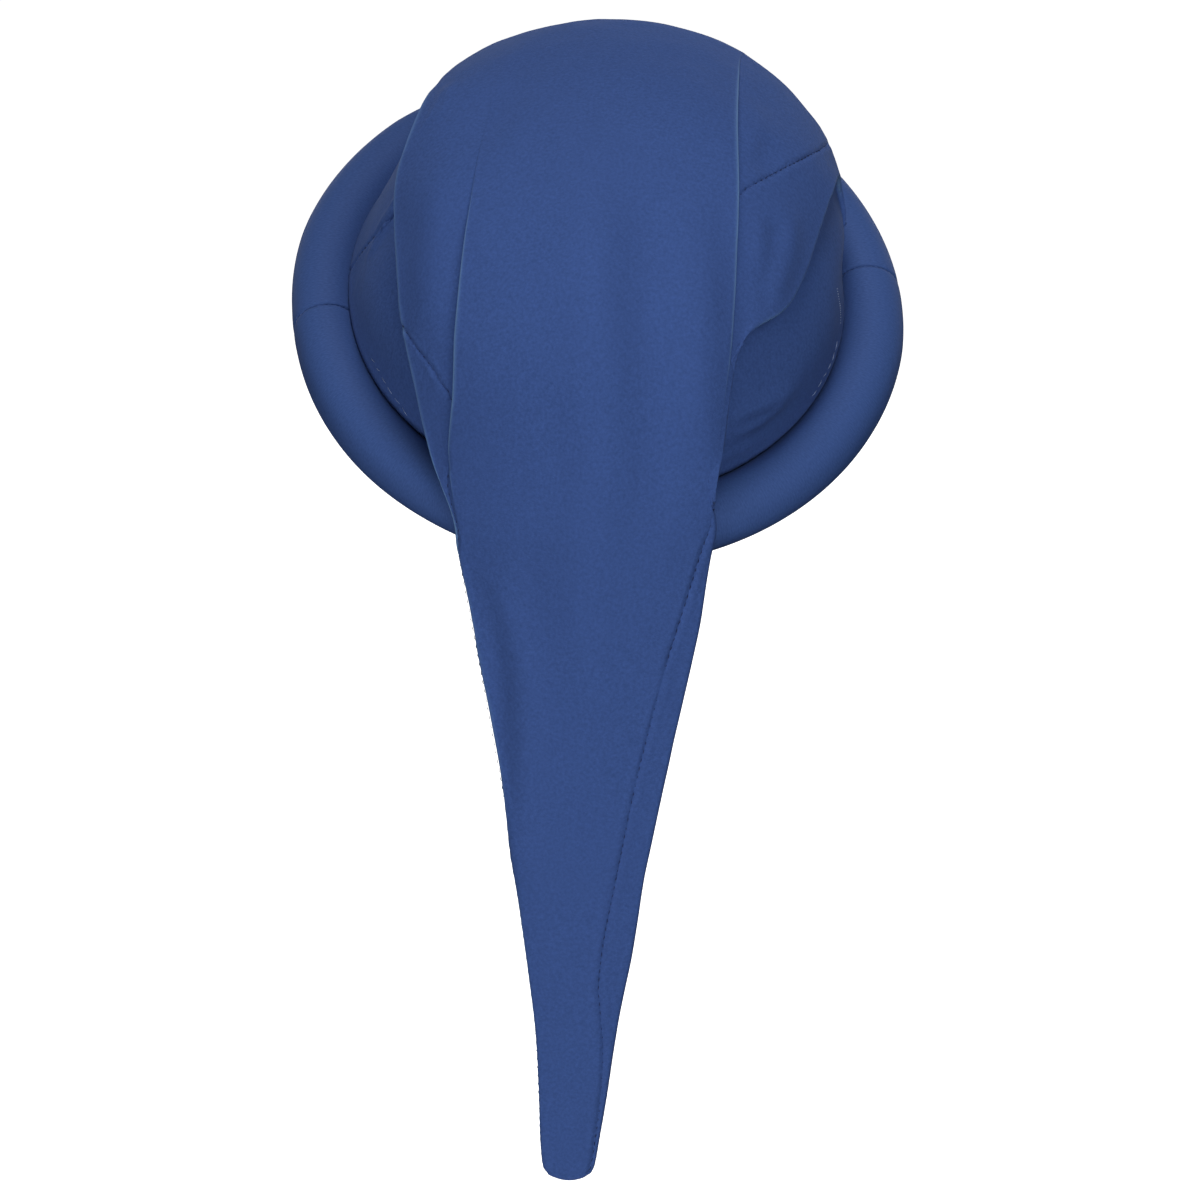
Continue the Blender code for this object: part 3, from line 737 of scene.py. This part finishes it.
def fill_with_cloth_sim(item, frames=16, most=0.0003):
    """Run cloth with pressure inside on a shell, and cap how far each point may move."""
    before = np.array([vert.co[:] for vert in item.data.vertices])
    only(item)
    cloth = item.modifiers.new("cloth", "CLOTH")
    for key, value in dict(quality=6, mass=0.15, tension_stiffness=40, compression_stiffness=40,
                           shear_stiffness=20, bending_stiffness=2.0, use_pressure=True,
                           uniform_pressure_force=5, vertex_group_mass="sewn").items():
        setattr(cloth.settings, key, value)
    cloth.settings.effector_weights.gravity = 0
    for number in range(1, frames + 1):
        bpy.context.scene.frame_set(number)
    bpy.ops.object.modifier_apply(modifier=cloth.name)
    bpy.context.scene.frame_set(1)
    after = np.array([vert.co[:] for vert in item.data.vertices])
    move = after - before
    length = np.linalg.norm(move, axis=1)
    scale = np.minimum(1, most / np.maximum(length, 1e-9))
    item.data.vertices.foreach_set("co", (before + move * scale[:, None]).ravel())
    item.data.update()
    print(item.name, "moved up to", round(length.max() * 1000, 2), "mm")


# %% Fill both halves and smooth them once
def stuffed_half(name, begin, end):
    item = roll_shell(name, begin, end)
    fill_with_cloth_sim(item)
    angles = np.linspace(0, math.pi * (HALF_WIDTH + HALF_LENGTH) / 2, ROLL_LONG + 1)
    layer = item.data.uv_layers.new(name="threads")
    for face in item.data.polygons:
        for corner, number in zip(face.loop_indices, face.vertices):
            row, side = divmod(number, ROLL_ROUND)
            if side == 0 and any(item.data.loops[k].vertex_index % ROLL_ROUND == ROLL_ROUND - 1
                                 for k in face.loop_indices):
                side = ROLL_ROUND
            layer.data[corner].uv = (side / ROLL_ROUND * 2 * math.pi * ROLL_RADIUS, angles[row])
    apply_modifier(item, "SUBSURF", levels=1, render_levels=1)
    item.data.shade_smooth()
    return item


roll_front = stuffed_half("roll_front", 0, 180)
roll_back_half = stuffed_half("roll_back", 180, 360)
print("roll halves:", len(roll_front.data.polygons), "and", len(roll_back_half.data.polygons), "faces")

# %% [markdown]
# ## Stitches
# Up close the seams are rows of short thread. One stitch is modelled as a small capsule, bent into the
# cloth at its ends, and copied along the seam. The side seams have dark thread. At the wall's foot, where
# its raw edge is whipped to the roll, pale thread shows, close and even at first and then in loose ends.
# All stitches of a seam are joined in one mesh, so the hat keeps a short list of pieces.

# %% One stitch, modelled once
def one_stitch(length, radius):
    bpy.ops.mesh.primitive_cylinder_add(vertices=6, radius=radius, depth=length, end_fill_type="TRIFAN")
    item = bpy.context.object
    bpy.ops.object.mode_set(mode="EDIT")
    bpy.ops.mesh.select_all(action="SELECT")
    bpy.ops.mesh.bisect(plane_co=(0, 0, 0), plane_no=(0, 0, 1))
    bpy.ops.object.mode_set(mode="OBJECT")
    build = bmesh.new()
    build.from_mesh(item.data)
    for vert in build.verts:
        share = abs(vert.co.z) / (length / 2)
        pinch = 1 - 0.45 * share ** 2
        vert.co.x, vert.co.y = vert.co.x * pinch, vert.co.y * pinch - share ** 2 * radius * 1.3
    points = np.array([vert.co[:] for vert in build.verts])
    faces = [[vert.index for vert in face.verts] for face in build.faces]
    build.free()
    bpy.data.objects.remove(item, do_unlink=True)
    return points, faces


def sew(name, line, outward, pitch, length, radius, sunk=0.0, wander=0.0, across=0.0):
    """Copy a stitch along a line of points, turned by across from the line, with its back to the cloth."""
    stitch, faces = one_stitch(length, radius)
    along = way_along(line)
    points, all_faces = [], []
    chance = np.random.default_rng(7)
    for number, at in enumerate(np.arange(pitch / 2, along[-1] - pitch / 2, pitch)):
        here, next_one, up = (np.array([np.interp(at + step, along, source[:, k]) for k in range(3)])
                              for step, source in ((0, line), (pitch * 0.3, line), (0, outward)))
        ahead = next_one - here
        ahead /= np.linalg.norm(ahead)
        up = up - ahead * (up @ ahead)
        up /= np.linalg.norm(up)
        side = np.cross(up, ahead)
        lean = across + chance.normal() * wander
        cosine, sine = math.cos(lean), math.sin(lean)
        ahead, side = ahead * cosine + side * sine, side * cosine - ahead * sine
        base = len(points)
        for x, y, z in stitch:
            points.append(here + side * x + up * (y - sunk) + ahead * z)
        all_faces += [[base + corner for corner in face] for face in faces]
    mesh = bpy.data.meshes.new(name)
    mesh.from_pydata([tuple(point) for point in points], [], all_faces)
    mesh.update()
    mesh.shade_smooth()
    print(name, number + 1, "stitches")
    return add_object(name, mesh)


def outward_of(line, side, turn=0.03):
    """The cloth's outward direction along a seam, from its two neighbours round the cone."""
    ups = []
    for row, level in enumerate(LEVELS):
        place = seam_place(level, side)
        a, b = row_point(row, place - turn), row_point(row, place + turn)
        c = line[min(row + 2, len(line) - 1)] - line[max(row - 2, 0)]
        up = np.cross(c, b - a)
        ups.append(up / (np.linalg.norm(up) + 1e-9))
    return np.array(ups)


# %% Sew the two side seams
seam_threads = []
for side, line in seam_lines.items():
    up = outward_of(line, side)
    if np.median(np.sign(np.sum((line - GRID.mean(axis=1)) * up, axis=1))) < 0:
        up = -up
    seam_threads.append(sew(f"seam_thread_{side}", line, up, pitch=0.0031, length=0.0015,
                            radius=0.00014, sunk=0.00028, wander=0.12))

# %% Whip the wall's foot to the roll with pale thread
Whipping = namedtuple("Whipping", "name pitch length radius wander across line")
WHIPPINGS = [
    Whipping("whip_thread", 0.0011, 0.0008, 0.00015, 0.2, 1.2,
             [(4.48, 1.40), (4.46, 1.04), (4.43, 0.60), (4.43, 0.34)]),
    Whipping("loose_thread", 0.0048, 0.0034, 0.00012, 0.5, 0.3,
             [(4.50, 0.28), (4.60, 0.19), (4.74, 0.20), (4.90, 0.13)]),
    Whipping("loose_thread_left", 0.0052, 0.0034, 0.0001, 0.4, 0.3,
             [(7.60, 0.26), (7.50, 0.26), (7.40, 0.20), (7.30, 0.16), (7.22, 0.09)]),
]
inside_wall = GRID[len(FOOT_ANGLES) + 12].mean(0)   # within the hat, as high as they are
pale_threads = []
for one in WHIPPINGS:
    points = line_on_cone(one.line, step=0.1)
    pale_threads.append(sew(one.name, points, points - inside_wall, one.pitch, one.length, one.radius,
                            sunk=-0.0001, wander=one.wander, across=one.across))

# %% [markdown]
# ## The finishes
# Three cloths make the hat: a matte crepe with a fine nap, a closer cloth on the roll, and the threads.
# Each is made of noise and waves in metres, so its grain has its true size. A small class lets shader
# numbers be written as plain arithmetic, which is easier to read than a chain of nodes.

# %% Shader numbers as arithmetic
class Number:
    """A shader value that adds a Math node for each operation done on it."""

    def __init__(self, finish, socket):
        self.finish, self.socket = finish, socket

    def _math(self, operation, other):
        node = self.finish.node("ShaderNodeMath", {"operation": operation}, {0: self, 1: other})
        return Number(self.finish, node.outputs[0])

    def __add__(self, other):
        return self._math("ADD", other)

    def __sub__(self, other):
        return self._math("SUBTRACT", other)

    def __mul__(self, other):
        return self._math("MULTIPLY", other)


class Finish:
    """A material with one Principled shader, and one method that adds any other node."""

    def __init__(self, name, roughness, sheen):
        self.material = bpy.data.materials.new(name)
        self.material.use_nodes = True
        self.tree = self.material.node_tree
        self.shader = self.tree.nodes["Principled BSDF"]
        for key, value in (("Roughness", roughness), ("Specular IOR Level", 0.12), ("Sheen Weight", sheen),
                           ("Sheen Roughness", 0.45), ("Sheen Tint", (0.55, 0.72, 1.0, 1))):
            self.shader.inputs[key].default_value = value

    def node(self, kind, settings, inputs):
        node = self.tree.nodes.new(kind)
        for key, value in settings.items():
            setattr(node, key, value)
        for key, value in inputs.items():
            self.set(node.inputs[key], value)
        return node

    def set(self, socket, value):
        if isinstance(value, Number):
            value = value.socket
        if hasattr(value, "is_output"):
            self.tree.links.new(value, socket)
        else:
            socket.default_value = value

    def colour(self, value):
        self.set(self.shader.inputs["Base Color"], value)

    def place(self):
        return self.node("ShaderNodeTexCoord", {}, {}).outputs["Object"]

    def weave(self, stretch):
        """Places along the threads, drawn together so that noise follows one of them."""
        inputs = {"Vector": self.node("ShaderNodeUVMap", {"uv_map": "threads"}, {}).outputs["UV"],
                  "Scale": (1.0, stretch, 1.0)}
        return self.node("ShaderNodeMapping", {}, inputs).outputs[0]

    def noise(self, vector, scale, detail=2.0, roughness=0.5):
        node = self.node("ShaderNodeTexNoise", {},
                         {"Vector": vector, "Scale": scale, "Detail": detail, "Roughness": roughness})
        return Number(self, node.outputs["Fac"])

    def mix(self, share, dark, light):
        node = self.node("ShaderNodeMix", {"data_type": "RGBA", "clamp_factor": True},
                         {"Factor": share})
        for key, value in ((6, dark), (7, light)):   # its sockets for colours
            self.set(node.inputs[key], value)
        return node.outputs[2]

    def bump(self, height, distance, strength):
        node = self.node("ShaderNodeBump", {},
                         {"Height": height, "Distance": distance, "Strength": strength})
        self.tree.links.new(node.outputs["Normal"], self.shader.inputs["Normal"])


# %% Matte crepe for the cone
def crepe(name, base, light, shade):
    finish = Finish(name, roughness=0.88, sheen=0.04)
    place = finish.place()
    grain = finish.noise(place, 900.0, detail=3.0, roughness=0.65)
    ribs = finish.noise(finish.weave(2.6), 1100.0, detail=1.0)
    cloud = finish.noise(place, 22.0)
    colour = finish.mix(grain * 1.6 - 0.30, shade, light)
    colour = finish.mix(cloud * 0.6, colour, (*base, 1))
    # paint a pale highlight on the pressed edges, standing in for the light that catches the folds
    mark = finish.node("ShaderNodeAttribute", {"attribute_name": "pressed_edge"}, {})
    colour = finish.mix(Number(finish, mark.outputs["Fac"]), colour, PAINTED_EDGE_HIGHLIGHT)
    finish.colour(colour)
    finish.bump(grain * 0.7 + ribs * 0.5, 0.00018, 0.8)
    return finish.material


CREPE = (0.035, 0.071, 0.222)
PAINTED_EDGE_HIGHLIGHT = (0.125, 0.240, 0.455, 1)   # painted highlight: a pale line where light catches a pressed edge
cone_finish = crepe("blue crepe", CREPE, (0.047, 0.096, 0.290, 1), (0.023, 0.050, 0.160, 1))


# %% Closer cloth for the roll
def roll_cloth(name, light, shade):
    finish = Finish(name, roughness=0.72, sheen=0.02)
    ribs = finish.noise(finish.weave(3.0), 700.0)
    grain = finish.noise(finish.place(), 1300.0)
    colour = finish.mix(ribs * 1.4 - 0.2, shade, light)
    finish.colour(colour)
    finish.bump(ribs * 0.7 + grain * 0.3, 0.00012, 0.5)
    return finish.material


roll_finish = roll_cloth("blue roll cloth", (0.046, 0.093, 0.272, 1), (0.028, 0.061, 0.188, 1))


# %% Thread
def thread(name, colour, dark):
    finish = Finish(name, roughness=0.7, sheen=0.1)
    twist = finish.noise(finish.place(), 2500.0, detail=1.0)
    finish.colour(finish.mix(twist, dark, colour))
    finish.bump(twist, 0.0001, 0.4)
    return finish.material


dark_thread = thread("navy thread", (0.012, 0.020, 0.070, 1), (0.006, 0.010, 0.040, 1))
pale_thread = thread("pale thread", (0.34, 0.42, 0.60, 1), (0.16, 0.22, 0.42, 1))

# %% Dress the pieces, hang each one on the root body and hide the imported parts they replace
for item, finish in ((front_cloth, cone_finish), (back_cloth, cone_finish), (roll_front, roll_finish),
                     (roll_back_half, roll_finish), *((item, dark_thread) for item in seam_threads),
                     *((item, pale_thread) for item in pale_threads)):
    item.data.materials.clear()
    item.data.materials.append(finish)
    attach(item, "root")

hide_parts("front_panel")
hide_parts("back_panel")
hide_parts("brim_roll_front")
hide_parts("brim_roll_back")
# For each panel the width of the rectangle that a tapering blank 0.55 m long fills to 0.6 is worked out,
# and nothing uses it. Each panel is taken to be a tapering blank 0.55 m long that fills 0.6 of its
# rectangle.
for item, area in ((front_cloth, front_area), (back_cloth, back_area)):
    area / 0.6 / 0.55

# %% [markdown]
# ## Floor, light and camera
# The photograph has plain white behind the hat and a broad soft light. A lit sheet of paper would do the
# first, but it would also throw its light up under the roll. So the floor glows white for the camera alone,
# and a few large lamps light the hat: a large lamp gives soft shade. The long lens keeps the hat's
# proportions, as a portrait lens does.

# %% A pale floor
bpy.ops.mesh.primitive_plane_add(size=12, location=(0, 0, -0.62))
floor = bpy.context.object
floor.name = "floor"
paint = bpy.data.materials.new("pale floor")
paint.use_nodes = True
shader = paint.node_tree.nodes["Principled BSDF"]
for key, value in (("Base Color", (0.9, 0.9, 0.9, 1)), ("Roughness", 0.9),
                   ("Emission Color", (1, 1, 1, 1)), ("Emission Strength", 1.0)):
    shader.inputs[key].default_value = value
floor.visible_diffuse = floor.visible_glossy = False
floor.data.materials.append(paint)

# %% Soft light
LAMP_SIDE = 1.0
LAMPS_AIM = Vector((0, -0.05, -0.05))
LAMPS = [
    ("key", (1.0, -1.7, 0.9), 18),
    ("low left", (-1.2, -1.5, -0.5), 25),
    ("low right", (0.4, -1.6, -0.75), 12),
    ("front", (0, -1.7, 0.8), 7),
    ("top", (0, 0.2, 2.0), 25),
    ("far left", (-0.9, 2.0, 0.3), 7),
    ("far right", (0.9, 2.0, 0.3), 7),
]
for name, place, power in LAMPS:
    bpy.ops.object.light_add(type="AREA", location=place)
    item = bpy.context.object
    item.name = name
    item.data.shape = "SQUARE"
    item.data.size, item.data.energy = LAMP_SIDE, power
    item.rotation_mode = "QUATERNION"
    item.rotation_quaternion = (Vector(place) - LAMPS_AIM).to_track_quat("Z", "Y")
world = bpy.context.scene.world or bpy.data.worlds.new("studio")
bpy.context.scene.world = world
world.use_nodes = True
background = world.node_tree.nodes["Background"]
background.inputs["Color"].default_value = (1, 1, 1, 1)
background.inputs["Strength"].default_value = 1.0
world.cycles_visibility.diffuse = world.cycles_visibility.glossy = False
bpy.context.scene.view_settings.view_transform = "Standard"

# %% The camera where the photographer stood
DISTANCE, RISE, LENS = 1.6, math.radians(14.0), 135.8
AIM_DOWN, AIM_RIGHT = 0.0639, 0.0009   # as slopes, from the way to the hat's origin
place = Vector((0, -math.cos(RISE), math.sin(RISE))) * DISTANCE
ahead = -place.normalized()
right = Vector((1, 0, 0))
up = right.cross(ahead)
look = (ahead - up * AIM_DOWN + right * AIM_RIGHT).normalized()
bpy.ops.object.camera_add(location=place)
camera = bpy.context.object
camera.data.sensor_width = 36
camera.data.lens = LENS
camera.rotation_mode = "QUATERNION"
camera.rotation_quaternion = look.to_track_quat("-Z", "Y")
camera.data.clip_start = 0.01
bpy.context.scene.camera = camera
